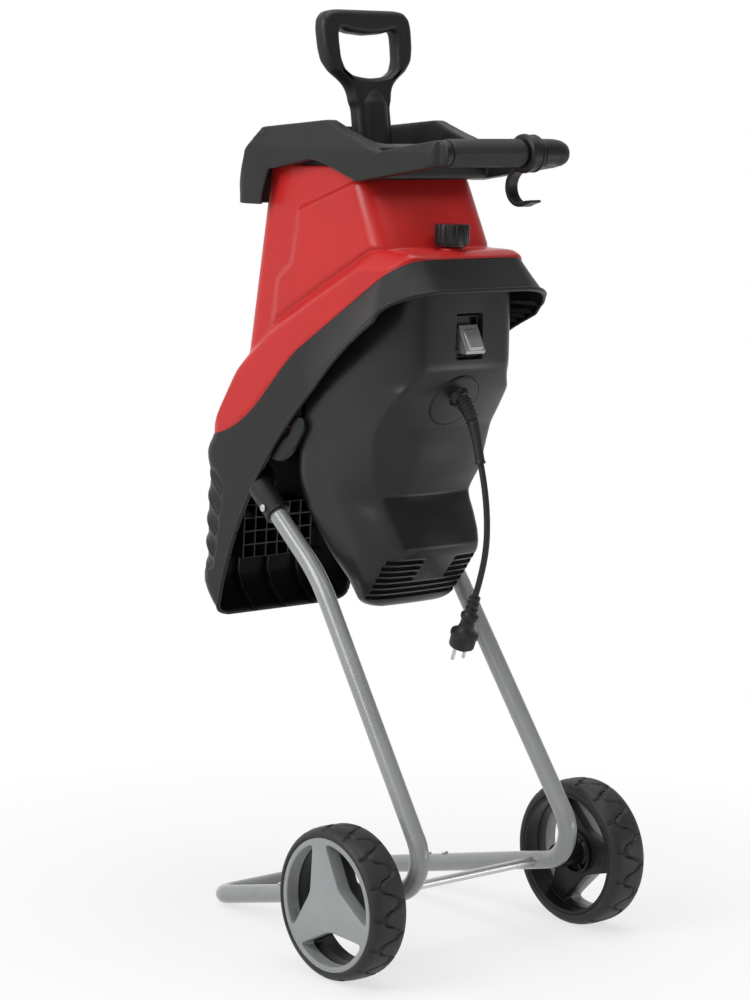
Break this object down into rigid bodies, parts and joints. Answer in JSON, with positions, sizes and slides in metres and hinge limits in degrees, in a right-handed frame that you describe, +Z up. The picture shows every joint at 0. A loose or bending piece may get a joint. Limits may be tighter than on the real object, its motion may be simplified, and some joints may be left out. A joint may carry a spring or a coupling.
{
  "type": "garden shredder",
  "caption": "Electric garden shredder on a wheeled tube stand: hinged red feed hopper with plunger and carrying handle, black hood with discharge chute, motor cover and mains cord.",
  "frame": {"origin": "on the ground in the middle of the object's box, wheels and front foot bar standing on zero", "axes": "+X to the right wheel seen from behind, +Y towards the discharge chute, +Z up"},
  "size_m": [0.484, 0.544, 1.2349],
  "materials": {
    "red_shell": "moulded satin gloss",
    "black_shell": "fine moulded texture",
    "satin_black": "satin moulded",
    "dark_plastic": "moulded",
    "soft_grip": "soft matt",
    "cord_rubber": "smooth rubber",
    "tyre_rubber": "moulded tread",
    "grey_plastic": "moulded",
    "grey_tube": "grey powder coat",
    "bright_steel": "zinc plated",
    "cast_metal": "die cast",
    "dark_steel": "machined",
    "brass_parts": "plain"
  },
  "bodies": {
    "base": {"hood": "black_shell", "chute_lattice": "black_shell", "bag_hooks": "dark_plastic", "mid_plate": "bright_steel", "motor_cover": "satin_black", "bearing_block": "cast_metal", "rotor_bearing": "bright_steel", "gear_bracket": "cast_metal", "stator": "dark_steel", "end_bracket": "cast_metal", "brush_holders": "brass_parts", "interlock": "satin_black", "switch_frame": "satin_black", "gland_plate": "satin_black", "strain_relief": "cord_rubber", "cord": "cord_rubber", "plug_body": "cord_rubber", "plug_pins": "bright_steel", "cover_screws": "bright_steel", "leg_left": "grey_tube", "leg_right": "grey_tube", "foot_bar": "grey_tube", "joint_sleeves": "bright_steel", "axle": "bright_steel", "axle_spacers": "satin_black", "axle_clips": "bright_steel", "frame_screws": "bright_steel", "hinge_pin": "bright_steel"},
    "hopper_unit": {"hopper": "red_shell", "collar": "black_shell", "handle_grip": "soft_grip", "collar_screws": "bright_steel", "counter_blade": "bright_steel"},
    "plunger_unit": {"plunger": "black_shell", "plunger_pad": "soft_grip"},
    "knob": {"lock_knob": "satin_black", "lock_screw": "bright_steel"},
    "switch_rocker": {"rocker": "grey_plastic"},
    "hook": {"cable_hook": "dark_plastic"},
    "wheel_left": {"rim_left": "dark_plastic", "tyre_left": "tyre_rubber", "face_left": "grey_plastic"},
    "wheel_right": {"rim_right": "dark_plastic", "tyre_right": "tyre_rubber", "face_right": "grey_plastic"},
    "rotor": {"rotor_shaft": "bright_steel", "rotor_disc": "dark_steel", "blades": "bright_steel", "blade_screws": "bright_steel", "drive_gear": "dark_steel"},
    "motor_rotor": {"armature": "dark_steel", "commutator": "brass_parts", "fan": "satin_black"}
  },
  "joints": [
    {"name": "hopper_hinge", "type": "hinge", "parent": "base", "child": "hopper_unit", "pos_m": [0, 0.265, 0.66], "axis": [-1, 0, 0], "range_deg": [0, 75]},
    {"name": "plunger_slide", "type": "slide", "parent": "hopper_unit", "child": "plunger_unit", "axis": [0, 0.1564, 0.9877], "range_m": [0, 0.19]},
    {"name": "knob_turn", "type": "hinge", "parent": "hopper_unit", "child": "knob", "pos_m": [0, -0.118, 0.93], "axis": [0, 0, 1], "continuous": true},
    {"name": "rocker_tilt", "type": "hinge", "parent": "base", "child": "switch_rocker", "pos_m": [0, -0.153, 0.809], "axis": [1, 0, 0], "range_deg": [0, 16]},
    {"name": "hook_swing", "type": "hinge", "parent": "hopper_unit", "child": "hook", "pos_m": [0.048, -0.207, 1.053], "axis": [1, 0, 0], "range_deg": [-100, 100]},
    {"name": "wheel_left_spin", "type": "hinge", "parent": "base", "child": "wheel_left", "pos_m": [-0.2, -0.172, 0.1], "axis": [1, 0, 0], "continuous": true},
    {"name": "wheel_right_spin", "type": "hinge", "parent": "base", "child": "wheel_right", "pos_m": [0.2, -0.172, 0.1], "axis": [1, 0, 0], "continuous": true},
    {"name": "rotor_spin", "type": "hinge", "parent": "base", "child": "rotor", "pos_m": [0, -0.03392, 0.8422], "axis": [0, 0.5299, 0.848], "continuous": true},
    {"name": "motor_spin", "type": "hinge", "parent": "base", "child": "motor_rotor", "pos_m": [0, 0.0424, 0.7945], "axis": [0, 0.5299, 0.848], "continuous": true}
  ],
  "couplings": [
    {"joint": "motor_spin", "follows": "rotor_spin", "ratio": -5}
  ]
}
